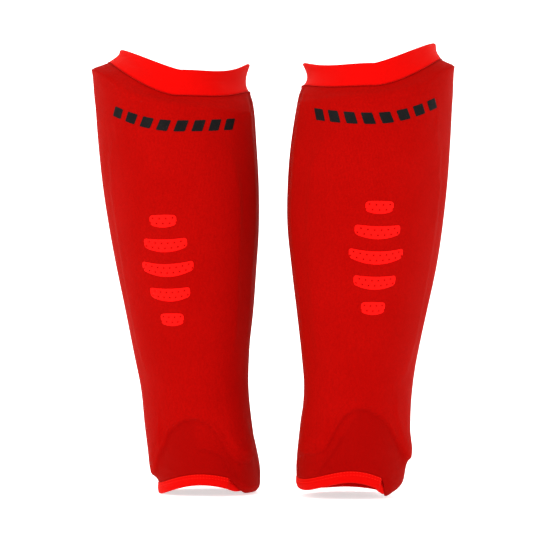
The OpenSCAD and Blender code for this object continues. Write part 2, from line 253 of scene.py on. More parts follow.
PLACES = [guard_place(side) for side in (0, 1)]


def to_world(side, points):
    flip, ox, oy = PLACES[side]
    out = np.array(points, float)
    out[..., 0] = ox + flip * out[..., 0]
    out[..., 1] = oy + out[..., 1]
    return out * MM


# ---- Relief of the front panel over the pad, with its folds ----
PAD_CORNER = 1.2
# The shell's centre and half sizes, and the power that rounds its corners
SHELL_U, SHELL_HALF_U, SHELL_Z, SHELL_HALF_Z, SHELL_CORNER = -8.0, 50.0, 168.0, 84.0, 5
# Height, waves round the leg, radians over the guard's height, start, and the
# right guard's shift
KNIT_WAVES = ((0.16, 3.1, 9, 0, 1), (0.12, 5.3, -14, 0, 2), (0.08, 8.7, 23, 1.3, 1))
WAVE_SHIFT, GUARD_H = 1.7, 320.0
# How the knit climbs onto the pad and lies over it
ARCH_RUN, SIDE_RUN, CRISP_SHARE, HEAD_SHARE = 24, 9, 0.42, 0.22
LOBE_LIFT, LOBE_REACH, SLACK = 0.55, 7, 0.3


def soft_min(values, k):
    """The least of the values, with corners rounded over about k."""
    return -k * np.log(sum(np.exp(-np.clip(v / k, -40, 40)) for v in values))


def arc_per_degree(z):
    """Millimetres round the leg for one degree, about: 38 mm radius at the
    ankle and 60 mm at the calf."""
    return 0.0175 * (38 + 22 * ease(60, 220, z))


def foot_depth(side, u, z):
    """Distance inside the pad's foot and sides, negative outside."""
    arc = arc_per_degree(z)
    slope = (pad_foot_z(side, u + 0.5) - pad_foot_z(side, u - 0.5)) / arc
    low = (z - pad_foot_z(side, u)) / np.hypot(1, slope)
    return soft_min((low, (u - PAD_FROM_U) * arc, (PAD_TO_U - u) * arc), PAD_CORNER)


def pad_depth(side, u, z):
    """Distance inside the pad's outline, negative outside, in millimetres."""
    return soft_min((foot_depth(side, u, z), pad_head_z(side, u) - z), PAD_CORNER)


def shell_depth(u, z):
    """Distance inside the shell's rounded outline, about."""
    a = np.abs((u - SHELL_U) / SHELL_HALF_U)
    b = np.abs((z - SHELL_Z) / SHELL_HALF_Z)
    size = (a**SHELL_CORNER + b**SHELL_CORNER) ** (1 / SHELL_CORNER)
    return (1 - size) * SHELL_HALF_U * arc_per_degree(z)


# Folds of the panel: side, [angle, height] points, height of the ridge, and
# its width above and below the line. Below the instep, a degree is FOLD_ARC
# millimetres.
FOLD_ARC = 0.66
FOLDS = (
    (0, ((-7, 34), (9, 32), (20, 28), (27, 19.5), (34, 13)), 1.2, 3.6, 1.1),
    (0, ((40, 20), (50, 16), (60, 16)), -0.5, 3.0, 3.0),
    (0, ((-62, 13), (-48, 15), (-34, 16)), -0.5, 2.0, 1.2),
    (0, ((-64, 19), (-50, 19), (-38, 18)), 0.4, 2.0, 1.4),
    (1, ((13, 42), (20, 35), (27, 28), (33, 23)), 1.3, 2.2, 1.4),
    (1, ((36, 27), (50, 24), (62, 25)), -0.6, 2.6, 2.6),
    (1, ((-72, 22), (-60, 20), (-46, 19)), 0.45, 2.4, 1.4),
    (1, ((-12, 38), (4, 36), (16, 30)), 0.4, 3.5, 2.0),
)
ARCH_FOLDS = (FOLDS[0][1], FOLDS[4][1])


def beside_line(points, u, z):
    """Distance from a line of points, positive above it, and the share along it."""
    nearest = np.full(np.broadcast(u, z).shape, 1e9)
    along = np.zeros(nearest.shape)
    last = len(points) - 1
    for k in range(last):
        (u0, z0), (u1, z1) = points[k], points[k + 1]
        dx, dz = (u1 - u0) * FOLD_ARC, z1 - z0
        px, pz = (u - u0) * FOLD_ARC, z - z0
        t = np.clip((px * dx + pz * dz) / (dx * dx + dz * dz), 0, 1)
        gap = np.hypot(px - t * dx, pz - t * dz)
        signed = gap * np.sign(dx * pz - dz * px)
        closer = gap < np.abs(nearest)
        nearest = np.where(closer, signed, nearest)
        along = np.where(closer, (k + t) / last, along)
    return nearest, along


def fold_relief(side, u, z):
    total = np.zeros(np.broadcast(u, z).shape)
    for fold_side, points, height, above, below in FOLDS:
        if fold_side == side:
            gap, along = beside_line(points, u, z)
            width = np.where(gap > 0, above, below)
            swell = np.sin(np.pi * (0.12 + 0.76 * along))
            total += height * swell * bell(gap, width)
    return total


def unevenness(side, u, z):
    """Slow waves of a stretched knit, the same on every run."""
    a, b = np.radians(u), z / GUARD_H
    return sum(
        height * np.sin(round_leg * a + up_leg * b + start + shift * WAVE_SHIFT * side)
        for height, round_leg, up_leg, start, shift in KNIT_WAVES
    )


def pucker(distance, u, per_turn, height):
    """Small gathers beside a line of stitches."""
    return height * np.exp(-np.abs(distance) / 3.5) * np.sin(np.radians(u) * per_turn)


def edge_gathers(side, u, to_seam, to_hem):
    """What both panels do at the collar and at the hem."""
    gathers = pucker(to_seam, u, 84, 0.07) + pucker(to_hem, u, 96, 0.08)
    return gathers - roll_in(side, u, to_hem)


# How far the simulated knit settled off the drawn relief: for each side, a
# grid of millimetres from seam to seam and from hem to collar
SETTLED = {}


def spline_shares(t):
    """Shares of four neighbours in a cubic B-spline."""
    return (
        (1 - t) ** 3 / 6,
        (3 * t**3 - 6 * t**2 + 4) / 6,
        (-3 * t**3 + 3 * t**2 + 3 * t + 1) / 6,
        t**3 / 6,
    )


def settled(side, u, z):
    """The settled grid read as a smooth surface."""
    if side not in SETTLED:
        return 0.0
    grid = SETTLED[side]
    columns, rows = grid.shape
    low, high = hem_top(side, u) + SEAM_GAP, seam_z(side, u) - SEAM_GAP
    a = np.clip((u - OUTER_SEAM_U) / (INNER_SEAM_U - OUTER_SEAM_U), 0, 1) * (columns - 1)
    b = np.clip((z - low) / (high - low), 0, 1) * (rows - 1)
    i, j = np.floor(a).astype(int), np.floor(b).astype(int)
    total = 0.0
    for di, wa in enumerate(spline_shares(a - i)):
        for dj, wb in enumerate(spline_shares(b - j)):
            cell = grid[np.clip(i + di - 1, 0, columns - 1), np.clip(j + dj - 1, 0, rows - 1)]
            total = total + wa * wb * cell
    return total


def pad_rise(side, u, z):
    """Climb onto the pad's foot, 0 to 1: longest over the instep, and softer
    where the lobes beside the ankle lift the knit below them."""
    depth = foot_depth(side, u, z)
    run = ARCH_RUN - (ARCH_RUN - SIDE_RUN) * ease(28, 55, np.abs(u - 2))
    rise = CRISP_SHARE * ease(-1, 1.1, depth) + (1 - CRISP_SHARE) * ease(-0.5, 1, depth / run)
    lobe = ease(50, 68, -u) + 0.4 * ease(48, 60, u)
    return rise + (1 - rise) * LOBE_LIFT * lobe * np.exp(np.minimum(depth, 0) / LOBE_REACH)


def top_fall(side, u, z, to_seam):
    """Fall towards the collar, 1 to 0: a step at the pad's head, then a slope
    in front and a short one at the outer side."""
    at_head = ease(-2, 2.5, pad_head_z(side, u) - z)
    front = HEAD_SHARE * at_head + (1 - HEAD_SHARE) * ease(0, 16, to_seam)
    outer = ease(0, 5.5, to_seam)
    return front + (outer - front) * ease(35, 68, -u)


def panel_relief(side, u, z):
    """Offset of the front panel's inner face: a crisp step at the pad's edge,
    a slower rise to its full thickness, and a fall towards the collar."""
    to_seam = seam_z(side, u) - z
    to_hem = z - hem_top(side, u)
    share = pad_rise(side, u, z) * top_fall(side, u, z, to_seam) * ease(0, 6, to_hem)
    beside_shell = 1 - ease(-3, 2.5, shell_depth(u, z))
    high = PANEL_HIGH + 0.6 * ease(40, 80, -u) - 0.9 * ease(0, 25, u) * beside_shell
    free = ease(0, 6, to_seam) * ease(0, 5, to_hem)
    free = free * ease(0, 8, u - OUTER_SEAM_U) * ease(0, 8, INNER_SEAM_U - u)
    loose = fold_relief(side, u, z) + unevenness(side, u, z) + SLACK + settled(side, u, z)
    off = PANEL_LOW + (high - PANEL_LOW) * share + free * loose
    return off + edge_gathers(side, u, to_seam, to_hem)


def panel_point(side, u, z, lift):
    """A point on the front panel's outer face, lifted off it."""
    return leg_point(side, u, z, panel_relief(side, u, z) + KNIT_T + lift)


# ---- Meshes ----
def new_object(name, vertices, faces, corner_uvs=None, shares=None):
    """A smooth mesh with the cloth's coordinates, and shares as point values."""
    mesh = bpy.data.meshes.new(name)
    mesh.from_pydata(vertices.tolist(), [], faces)
    if corner_uvs is not None:
        flat = np.asarray(corner_uvs, np.float32).ravel()
        mesh.uv_layers.new(name="Cloth").data.foreach_set("uv", flat)
    for key, values in (shares or {}).items():
        flat = np.asarray(values, np.float32).ravel()
        mesh.attributes.new(key, "FLOAT", "POINT").data.foreach_set("value", flat)
    mesh.shade_smooth()
    mesh.validate()
    obj = bpy.data.objects.new(name, mesh)
    bpy.context.scene.collection.objects.link(obj)
    return obj


def guard_object(name, side, points, faces, uvs=None, shares=None):
    """A piece of one guard. The right one is mirrored, so its faces turn round."""
    if side:
        faces = [face[::-1] for face in faces]
    points = to_world(side, points.reshape(-1, 3))
    return new_object(f"{SIDES[side]}_{name}", points, faces, uvs, shares)


def grid_quads(columns, rows):
    index = np.arange(columns * rows).reshape(columns, rows)
    return np.stack([index[:-1, :-1], index[1:, :-1], index[1:, 1:], index[:-1, 1:]], -1)


def loft(name, side, loops, uv, closed=False, shares=None):
    """A closed solid through loops [column, point, xyz]. An open loft's loops
    are those of sheet_loops, with a cap at each end. A closed loft has one
    column more in uv."""
    n, m = loops.shape[:2]
    index = np.arange(n * m).reshape(n, m)
    here = index if closed else index[:-1]
    there = np.roll(index, -1, 0) if closed else index[1:]
    quads = np.stack([here, there, np.roll(there, -1, 1), np.roll(here, -1, 1)], -1).reshape(-1, 4)
    a, b = uv[:-1], uv[1:]
    corners = np.stack([a, b, np.roll(b, -1, 1), np.roll(a, -1, 1)], -2).reshape(-1, 4, 2)
    faces = quads.tolist()
    uvs = corners.reshape(-1, 2).tolist()
    if not closed:
        half = m // 2 - 1
        flat_uv = uv.reshape(-1, 2)
        caps = [[j, j + 1, m - 3 - j, m - 2 - j] for j in range(half - 1)]
        caps += [[half - 1, half, half + 1], [m - 2, m - 1, 0]]
        last = (n - 1) * m
        caps += [[last + v for v in reversed(cap)] for cap in caps]
        faces += caps
        for cap in caps:
            uvs += [flat_uv[v].tolist() for v in cap]
    if side:
        start, turned = 0, []
        for face in faces:
            turned += uvs[start:start + len(face)][::-1]
            start += len(face)
        uvs = turned
    return guard_object(name, side, loops, faces, uvs, shares)


def both_faces(values):
    """Values of the outer face, carried round a sheet's loop."""
    return np.concatenate([values, values[:, -1:], values[:, ::-1], values[:, :1]], 1)


def sheet_loops(side, u, z, off, thickness, rise, middle):
    """Loops of a sheet: up the outer face, over an edge point a rise beyond
    it, down the inner face and over another edge point."""
    inner = leg_point(side, u, z, off - thickness)
    top = leg_point(side, u, z + rise, middle)[:, -1:]
    bottom = leg_point(side, u, z - rise, middle)[:, :1]
    return np.concatenate([leg_point(side, u, z, off), top, inner[:, ::-1], bottom], 1)


def sheet_loft(name, side, u, z, off, thickness, shares=None):
    """A sheet: u, z and off are [column, row] grids of its outer face. The
    cloth's own coordinates are metres round the leg and up it."""
    loops = sheet_loops(side, u, z, off, thickness, 0.35 * thickness, off - thickness / 2)
    steps = np.linalg.norm(np.diff(loops[:, u.shape[1] // 2], axis=0), axis=1)
    across = np.concatenate([[0], np.cumsum(steps)])
    flat = np.stack(np.broadcast_arrays(across[:, None], z), -1) * MM
    shares = {key: both_faces(values) for key, values in (shares or {}).items()}
    return loft(name, side, loops, both_faces(flat), False, shares)


def ring_loft(name, side, profile, columns=360):
    """A closed ring: profile(u) gives the heights and offsets of its loop."""
    u = np.arange(columns) * 360.0 / columns - 180
    loops = leg_point(side, u[:, None], *profile(u[:, None]))
    steps = np.linalg.norm(np.roll(loops[:, 0], -1, 0) - loops[:, 0], axis=1)
    around = np.concatenate([[0], np.cumsum(steps)])
    down = np.concatenate([[0], np.cumsum(np.linalg.norm(np.diff(loops[0], axis=0), axis=1))])
    uv = np.stack(np.broadcast_arrays(around[:, None], down[None, :]), -1) * MM
    return loft(name, side, loops, uv, True)


def tube_mesh(paths, radius, sides=6):
    """Vertices and faces of small round threads along paths [thread, point, xyz]."""
    count, k = paths.shape[:2]
    run = np.gradient(paths, axis=1)
    run /= np.linalg.norm(run, axis=2, keepdims=True) + 1e-9
    up = np.zeros_like(run)
    up[..., 2] = 1
    steep = np.abs(run[..., 2]) > 0.9
    up[steep] = (0, 1, 0)
    right = np.cross(run, up)
    right /= np.linalg.norm(right, axis=2, keepdims=True) + 1e-9
    other = np.cross(right, run)
    turn = np.arange(sides) * 2 * np.pi / sides
    taper = np.sqrt(np.clip(np.sin(np.pi * (np.arange(k) + 0.35) / (k - 0.3)), 0.05, 1))
    circle = np.cos(turn)[:, None] * right[:, :, None, :] + np.sin(turn)[:, None] * other[:, :, None, :]
    rings = paths[:, :, None, :] + radius * taper[None, :, None, None] * circle
    base = (np.arange(count) * k * sides)[:, None, None]
    i, j = np.indices((k - 1, sides))
    a = i * sides + j
    b = i * sides + (j + 1) % sides
    quads = np.stack([a, a + sides, b + sides, b], -1)[None] + base[..., None]
    faces = quads.reshape(-1, 4).tolist()
    for t in range(count):
        first = t * k * sides
        faces.append([first + s for s in range(sides)])
        faces.append([first + (k - 1) * sides + s for s in reversed(range(sides))])
    return rings.reshape(-1, 3), faces


def grid_object(name, points):
    """A plain surface through a [column, row] grid of points."""
    quads = grid_quads(*points.shape[:2])
    return new_object(name, points.reshape(-1, 3), quads.reshape(-1, 4).tolist())


def stitches(name, side, paths, radius):
    return guard_object(name, side, *tube_mesh(paths, radius))


FILM_LIFT, FILM_T = 0.04, 0.16


def cell_middles(v):
    return (v[:-1, :-1] + v[1:, :-1] + v[1:, 1:] + v[:-1, 1:]) / 4


def film(name, side, centre_u, line_z, half_w, half_h, inside, cell=0.32):
    """A printed film on the front panel. inside(s, t) is the distance to its
    edge, negative inside, for s millimetres along and t above the line that
    line_z(u) gives."""
    s = np.arange(-half_w, half_w + cell, cell)
    t = np.arange(-half_h, half_h + cell, cell)
    s, t = np.meshgrid(s, t, indexing="ij")
    # Points near the edge move onto it
    d = inside(s, t)
    step = 0.02
    gs, gt = (inside(s + step, t) - d) / step, (inside(s, t + step) - d) / step
    size = np.hypot(gs, gt) + 1e-9
    near = np.abs(d) < 0.75 * cell
    s = np.where(near, s - d * gs / size**2, s)
    t = np.where(near, t - d * gt / size**2, t)
    quads = grid_quads(*s.shape)[inside(cell_middles(s), cell_middles(t)) < 0]
    used = np.unique(quads)
    renumber = np.zeros(s.size, int)
    renumber[used] = np.arange(len(used))
    quads = renumber[quads]
    s, t = s.ravel()[used], t.ravel()[used]
    beside = leg_point(side, np.array([centre_u - 1.0, centre_u + 1.0]), line_z(centre_u), PANEL_HIGH)
    per_degree = np.linalg.norm(beside[1] - beside[0]) / 2
    u = centre_u + s / per_degree
    z = line_z(u) + t
    points = [panel_point(side, u, z, FILM_LIFT + lift) for lift in (FILM_T, 0)]
    n = len(used)
    edges = np.concatenate([quads[:, [k, (k + 1) % 4]] for k in range(4)])
    edge_set = set(map(tuple, edges.tolist()))
    walls = [[b, a, a + n, b + n] for a, b in edge_set if (b, a) not in edge_set]
    faces = quads.tolist() + (quads[:, ::-1] + n).tolist() + walls
    return guard_object(name, side, np.concatenate(points), faces)


# ---- Materials ----
class Nodes:
    """Short calls for building a node tree."""

    def __init__(self, name):
        self.material = bpy.data.materials.new(name)
        self.material.use_nodes = True
        self.tree = self.material.node_tree
        self.shader = self.tree.nodes["Principled BSDF"]

    def link(self, a, b):
        self.tree.links.new(a, b)

    def add(self, kind, inputs=(), **settings):
        """A node with these settings. An input is a number, a colour or
        another node's output."""
        node = self.tree.nodes.new("ShaderNode" + kind)
        for key, value in settings.items():
            setattr(node, key, value)
        for key, value in dict(inputs).items():
            if isinstance(value, bpy.types.NodeSocket):
                self.link(value, node.inputs[key])
            else:
                node.inputs[key].default_value = (*value, 1) if isinstance(value, tuple) else value
        return node

    def math(self, operation, a, b=0.0):
        return self.add("Math", {0: a, 1: b}, operation=operation).outputs[0]

    def mix(self, share, a, b):
        return self.add("Mix", {0: share, 6: a, 7: b}, data_type="RGBA").outputs[2]

    def noise(self, vector, scale, detail, roughness=0.5):
        values = {"Vector": vector, "Scale": scale, "Detail": detail, "Roughness": roughness}
        return self.add("TexNoise", values).outputs["Fac"]

    def stretch(self, value, low, high, to_low, to_high):
        values = {0: value, 1: low, 2: high, 3: to_low, 4: to_high}
        return self.add("MapRange", values).outputs[0]

    def place(self):
        """The piece's own coordinates, in metres."""
        return self.add("TexCoord").outputs["Object"]

    def cloth_axes(self):
        """Metres round the leg and up it, along the cloth."""
        uv = self.add("UVMap", uv_map="Cloth").outputs[0]
        return self.add("SeparateXYZ", {0: uv}).outputs[:2]

    def share(self, name):
        """A value that the mesh holds for each point."""
        return self.add("Attribute", attribute_name=name).outputs["Fac"]

    def wave(self, value, pitch):
        return self.math("SINE", self.math("MULTIPLY", value, 2 * math.pi / pitch))

    def colour(self, tone):
        self.link(tone, self.shader.inputs["Base Color"])

    def relief(self, height, strength, distance):
        bump = self.add("Bump", {"Height": height, "Strength": strength, "Distance": distance})
        self.link(bump.outputs[0], self.shader.inputs["Normal"])

    def uneven_roughness(self, grain, middle, spread):
        value = self.stretch(grain, 0.3, 0.7, middle - spread, middle + spread)
        self.link(value, self.shader.inputs["Roughness"])

    def finish(self, roughness, sheen=0.0, tint=(1, 1, 1), specular=0.5):
        values = {
            "Roughness": roughness, "Sheen Weight": sheen, "Sheen Roughness": 0.45,
            "Sheen Tint": (*tint, 1), "Specular IOR Level": specular,
        }
        for key, value in values.items():
            self.shader.inputs[key].default_value = value
        return self.material


LOOP_LEAN, LOOP_DEPTH = 1.6, 0.35


def knit_pattern(n, course, wale):
    """Rows of V-shaped knit loops: 0 in the grooves and 1 on the yarn."""
    across, along = n.cloth_axes()
    x = n.math("MULTIPLY", across, 1 / wale)
    y = n.math("MULTIPLY", along, 1 / course)
    arm = n.math("ABSOLUTE", n.math("SUBTRACT", n.math("FRACT", x), 0.5))
    loop = n.wave(n.math("ADD", y, n.math("MULTIPLY", arm, LOOP_LEAN)), 1)
    groove = n.math("ABSOLUTE", n.math("SINE", n.math("MULTIPLY", x, math.pi)))
    yarn = n.math("ADD", n.math("MULTIPLY", loop, LOOP_DEPTH), 1 - LOOP_DEPTH)
    return n.math("MULTIPLY", yarn, groove)


def knit_material(name, colour, dark, loop=(0.00075, 0.0009), roughness=0.85, sheen=0.03,
                  bump=0.35, unbacked_shaded=None):
    """Heathered knit with loops of this height and width. Where no pad backs it, its colour is darker,
    partly its own tone and partly painted shade for the recess below the pad; its creases and the
    grooves between its loops are painted dark as shade."""
    n = Nodes(name)
    place = n.place()
    yarn = knit_pattern(n, *loop)
    slow = n.noise(place, 26, 3, 0.55)
    heather = n.noise(place, 620, 3, 0.75)
    # Painted shade: the grooves between the loops are drawn darker.
    tone = n.mix(n.stretch(yarn, 0.1, 0.9, 0.55, 0.0), colour, dark)
    # Where no pad backs the knit, its colour is partly its own darker tone and partly painted shade for
    # the recess below the pad.
    if unbacked_shaded is not None:
        unbacked_shaded_tone = n.mix(n.stretch(yarn, 0.1, 0.9, 0.5, 0.0), unbacked_shaded, dark)
        tone = n.mix(n.share("over_pad_unshaded"), unbacked_shaded_tone, tone)
        # Painted shade: dark lines along the creases.
        tone = n.mix(n.share("painted_crease_shade"), tone, dark)
    tone = n.mix(n.stretch(slow, 0.35, 0.65, 0.0, 0.22), tone, dark)
    n.colour(n.mix(n.stretch(heather, 0.4, 0.64, 0.0, 0.5), tone, dark))
    fuzz = n.noise(place, 2400, 2, 0.6)
    n.relief(n.math("ADD", yarn, n.math("MULTIPLY", fuzz, 0.5)), bump, 0.00025)
    n.uneven_roughness(slow, roughness, 0.06)
    return n.finish(roughness, sheen, (1.0, 0.25, 0.08), 0.02)


def thread_material(name, colour, dark):
    n = Nodes(name)
    values = {"Vector": n.place(), "Scale": 900, "Distortion": 1.5}
    wave = n.add("TexWave", values, wave_type="BANDS", bands_direction="DIAGONAL")
    twist = wave.outputs["Fac"]
    # Painted shade: the hollows of the thread's twist are drawn darker.
    n.colour(n.mix(n.stretch(twist, 0, 1, 0.5, 0.0), colour, dark))
    n.relief(twist, 0.4, 0.0001)
    return n.finish(0.6, 0.04, (1.0, 0.4, 0.2), 0.06)


def print_material(name, colour, worn, gloss=0.55):
    n = Nodes(name)
    place = n.place()
    grain = n.noise(place, 1400, 3, 0.6)
    patches = n.noise(place, 160, 3, 0.6)
    n.colour(n.mix(n.stretch(patches, 0.45, 0.75, 0.0, 0.35), colour, worn))
    n.relief(grain, 0.25, 0.00012)
    n.uneven_roughness(grain, gloss, 0.08)
    return n.finish(gloss, specular=0.06)


def foam_material():
    n = Nodes("closed_cell_foam")
    place = n.place()
    cells = n.add("TexVoronoi", {"Vector": place, "Scale": 1500}, feature="F1")
    slow = n.noise(place, 60, 3, 0.5)
    n.colour(n.mix(slow, (0.028, 0.028, 0.031), (0.016, 0.016, 0.018)))
    n.relief(cells.outputs["Distance"], 0.35, 0.0002)
    return n.finish(0.78, 0.1, (0.8, 0.8, 0.85), 0.3)


def shell_material():
    n = Nodes("moulded_shell")
    place = n.place()
    slow = n.noise(place, 35, 3, 0.5)
    grain = n.noise(place, 1100, 2, 0.6)
    n.colour(n.mix(slow, (0.70, 0.71, 0.73), (0.62, 0.63, 0.66)))
    n.relief(grain, 0.12, 0.0001)
    n.uneven_roughness(grain, 0.4, 0.06)
    return n.finish(0.4)


def elastic_material():
    n = Nodes("woven_elastic")
    across, along = n.cloth_axes()
    weft = n.math("MULTIPLY", n.wave(across, 0.0008), 0.4)
    cord = n.math("ADD", n.wave(along, 0.0011), weft)
    # Painted shade: the hollows between the cords are drawn darker.
    n.colour(n.mix(n.stretch(cord, -1.4, 1.4, 0.5, 0.0), (0.80, 0.77, 0.70), (0.52, 0.49, 0.43)))
    n.relief(cord, 0.3, 0.00015)
    return n.finish(0.7, 0.15, specular=0.3)


def satin_material():
    n = Nodes("label_satin")
    weft = n.wave(n.cloth_axes()[1], 0.0004)
    # Painted shade: the hollows of the weft are drawn darker.
    n.colour(n.mix(n.stretch(weft, -1, 1, 0.3, 0.0), (0.86, 0.85, 0.82), (0.70, 0.69, 0.66)))
    n.relief(weft, 0.2, 0.00008)
    return n.finish(0.42, 0.2)


# The second red is for knit with no pad behind it: partly its own darker tone, partly painted shade for
# the recess below the pad. The dark reds give both the heather's random tone and painted shade in
# grooves and creases.
RED, RED_UNBACKED_SHADED, RED_DARK = (0.395, 0.0012, 0.0004), (0.30, 0.0008, 0.0003), (0.24, 0.0006, 0.0003)
RED_BACK = (0.42, 0.0012, 0.0004)
RED_BRIGHT, RED_BRIGHT_DARK = (0.58, 0.0012, 0.0005), (0.55, 0.0008, 0.0004)
RED_LINING, RED_LINING_DARK = (0.34, 0.004, 0.003), (0.18, 0.002, 0.0015)
PANEL = knit_material("body_knit", RED, RED_DARK, unbacked_shaded=RED_UNBACKED_SHADED)
BACK = knit_material("back_knit", RED_BACK, RED_DARK)
LINING = knit_material(
    "brushed_lining", RED_LINING, RED_LINING_DARK, (0.0006, 0.0007), 0.9, sheen=0.2, bump=0.2)
BAND = knit_material(
    "band_knit", RED_BRIGHT, RED_BRIGHT_DARK, (0.0005, 0.0006), 0.7, sheen=0.05, bump=0.14)
THREAD_DARK = thread_material("seam_thread", (0.44, 0.0015, 0.0008), (0.24, 0.001, 0.0005))
THREAD_BRIGHT = thread_material("hem_thread", (0.95, 0.012, 0.005), (0.6, 0.004, 0.002))
PRINT_BLACK = print_material("black_film", (0.004, 0.004, 0.004), (0.012, 0.007, 0.006))
PRINT_RED = print_material("red_film", (0.88, 0.0025, 0.0010), (0.72, 0.0015, 0.0006))
FOAM = foam_material()
SHELL = shell_material()
ELASTIC = elastic_material()
SATIN = satin_material()


def dress(obj, side, node, material):
    """Gives a piece its material and its body, and hides the CAD node it stands for."""
    obj.data.materials.append(material)
    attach(obj, SIDES[side] + "_guard")
    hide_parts(f"{SIDES[side]}_{node}")


# ---- Cloth simulation ----
# The front panel, held at its four edges, shrinks onto the foam and the shell.
# It runs ten times as large as life: a hundredth of a unit is a millimetre.
SIM_COLUMNS, SIM_ROWS, SIM_FRAMES, SIM_UNIT = 61, 91, 28, 0.01
START_GAP, MOVE_IN, MOVE_IN_ON_SHELL, MOVE_OUT = 0.5, 0.9, 0.05, 1.2
UNDER_LOW = 0.9
CLOTH = {
    "quality": 7, "mass": 0.2, "tension_stiffness": 12, "compression_stiffness": 12,
    "shear_stiffness": 6, "bending_stiffness": 0.15, "shrink_min": 0.02, "vertex_group_mass": "held",
}


def pack_top(side, u, z):
    """Outer surface of what lies under the panel."""
    on_pad = ease(-1.5, 9, foot_depth(side, u, z)) * ease(-3, 6, seam_z(side, u) - z)
    foam = UNDER_LOW + (FOAM_OUT - UNDER_LOW) * on_pad
    shell = (SHELL_IN + SHELL_T) * ease(-2, 1, shell_depth(u, z))
    return np.maximum(foam, shell)


def settle_panel(side):
    """How far the simulated panel moves out from the drawn one."""
    u, z = panel_grid(side, OUTER_SEAM_U, INNER_SEAM_U, SIM_COLUMNS, SIM_ROWS)
    start = panel_relief(side, u, z)
    cloth = grid_object("settling_knit", leg_point(side, u, z, start + START_GAP) * SIM_UNIT)
    under = grid_object("settling_pack", leg_point(side, u, z, pack_top(side, u, z)) * SIM_UNIT)
    under.modifiers.new("Collision", "COLLISION")
    under.collision.thickness_outer = 0.002
    edge = np.ones(u.shape, bool)
    edge[1:-1, 1:-1] = False
    cloth.vertex_groups.new(name="held").add(np.flatnonzero(edge).tolist(), 1.0, "REPLACE")
    modifier = cloth.modifiers.new("Cloth", "CLOTH")
    for key, value in CLOTH.items():
        setattr(modifier.settings, key, value)
    modifier.settings.effector_weights.gravity = 0
    modifier.collision_settings.distance_min = 0.003
    modifier.collision_settings.collision_quality = 3
    modifier.point_cache.frame_end = SIM_FRAMES
    scene = bpy.context.scene
    for step in range(1, SIM_FRAMES + 1):
        scene.frame_set(step)
    done = cloth.evaluated_get(bpy.context.evaluated_depsgraph_get()).to_mesh()
    places = np.zeros(u.size * 3)
    done.vertices.foreach_get("co", places)
    places = places.reshape(*u.shape, 3) / SIM_UNIT
    drawn = leg_point(side, u, z, start)
    moved = ((places - drawn) * (leg_point(side, u, z, start + 1) - drawn)).sum(2)
    cloth.modifiers.remove(modifier)
    for obj in (cloth, under):
        bpy.data.meshes.remove(obj.data)
    scene.frame_set(1)
    inwards = np.where(shell_depth(u, z) > -3, MOVE_IN_ON_SHELL, MOVE_IN)
    return np.clip(moved, -inwards, MOVE_OUT)


# ---- Pieces ----
PANEL_COLUMNS, PANEL_ROWS = 165, 190


def panel_grid(side, from_u, to_u, columns, rows, over_tuck=0):
    """Angles and heights between the hem and the collar."""
    u, v = full_grid(columns, rows, from_u, to_u)
    low = hem_top(side, u) + SEAM_GAP + over_tuck * tuck(side, u)
    high = seam_z(side, u) - SEAM_GAP
    return u, low + (high - low) * v


def backing_and_crease_shade(side, u, z):
    """Where a pad backs the knit, and painted shade: the unbacked knit is darkened partly as shade, and
    dark lines of painted shade lie along its creases. Below the instep's arch, a fold hides part of the
    pad's edge."""
    depth = foot_depth(side, u, z)
    gap, _ = beside_line(ARCH_FOLDS[side], u, z)
    at_fold = ease(0, 12, u + 12)
    over_pad_unshaded = np.maximum(ease(-0.5, 0.5, depth), ease(120, 200, z))
    # Above the instep arch's fold the knit is half as dark; below it the knit keeps the unbacked colour
    # with its painted shade.
    over_pad_unshaded = np.maximum(over_pad_unshaded, 0.5 * ease(-0.6, 0.6, gap) * at_fold)
    # Painted shade: dark lines along the pad's edge and along the arch's fold.
    painted_crease_shade = 0.4 * bell(depth + 0.3, 0.8) * (1 - ease(120, 160, z))
    painted_crease_shade = painted_crease_shade + 0.7 * bell(gap + 1, 1.2) * at_fold
    painted_crease_shade = painted_crease_shade * ease(40, 56, u + 105) * ease(0, 5, z - hem_top(side, u))
    return {"over_pad_unshaded": over_pad_unshaded, "painted_crease_shade": painted_crease_shade}


def front_panel(side):
    u, z = panel_grid(side, OUTER_SEAM_U, INNER_SEAM_U, PANEL_COLUMNS, PANEL_ROWS)
    off = panel_relief(side, u, z) + KNIT_T
    obj = sheet_loft("front_panel_knit", side, u, z, off, KNIT_T, backing_and_crease_shade(side, u, z))
    dress(obj, side, "front_panel", PANEL)


# Folds across the ankle's back and below the knee: height, span in degrees,
# start, slant, wave length, middle height and span
BACK_FOLDS = ((0.7, 48, 20, 0.18, 5.2, 62, 30), (0.45, 60, 0, -0.12, 8.5, 262, 22))
BACK_GAP_U = 0.06


def back_relief(u, z):
    """Soft folds of the unpadded knit, with a vertical one between them."""
    from_back = np.abs(wrap(u - 180))
    total = 0.35 * bell(wrap(u - 172), 10) * np.sin(z / 38)
    for height, span_u, start, slant, wave, mid_z, span_z in BACK_FOLDS:
        near = bell(from_back, span_u) * bell(z - mid_z, span_z)
        total = total + height * near * np.sin((z - start + slant * from_back) / wave)
    return total


def back_panel(side):
    from_u, to_u = INNER_SEAM_U, 360 + OUTER_SEAM_U
    u, z = panel_grid(side, from_u + BACK_GAP_U, to_u - BACK_GAP_U, PANEL_COLUMNS, PANEL_ROWS)
    to_seam, to_hem = seam_z(side, u) - z, z - hem_top(side, u)
    free = ease(0, 8, to_seam) * ease(0, 8, to_hem) * ease(0, 9, u - from_u) * ease(0, 9, to_u - u)
    off = FLUSH_OUT + free * (back_relief(u, z) + unevenness(side, u, z) + SLACK)
    off = off + edge_gathers(side, u, to_seam, to_hem)
    obj = sheet_loft("back_panel_knit", side, u, z, off, KNIT_T)
    dress(obj, side, "back_panel", BACK)


